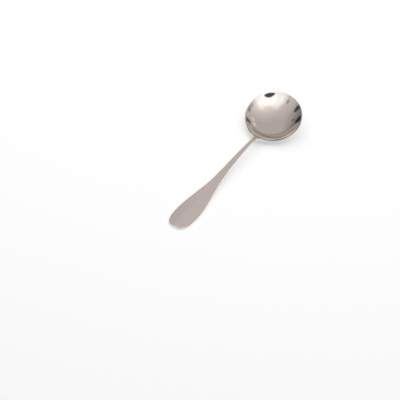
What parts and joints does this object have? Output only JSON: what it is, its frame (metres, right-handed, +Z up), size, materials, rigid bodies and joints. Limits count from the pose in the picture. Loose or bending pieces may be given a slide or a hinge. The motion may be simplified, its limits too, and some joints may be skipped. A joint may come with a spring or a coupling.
{
  "type": "soup spoon",
  "caption": "Plain stamped steel soup spoon with a round deep bowl, a narrow arched stem and a long rounded paddle handle.",
  "frame": {"origin": "on the surface the spoon lies on, under the middle of its length and width", "axes": "+X along the spoon from the handle's end to the bowl's tip, +Y across it, +Z up out of the bowl"},
  "size_m": [0.18, 0.0506, 0.0216],
  "materials": {
    "steel": "mirror-polished bowl, softly polished handle with fine use scratches"
  },
  "bodies": {
    "root": {"spoon": "steel"}
  },
  "joints": []
}
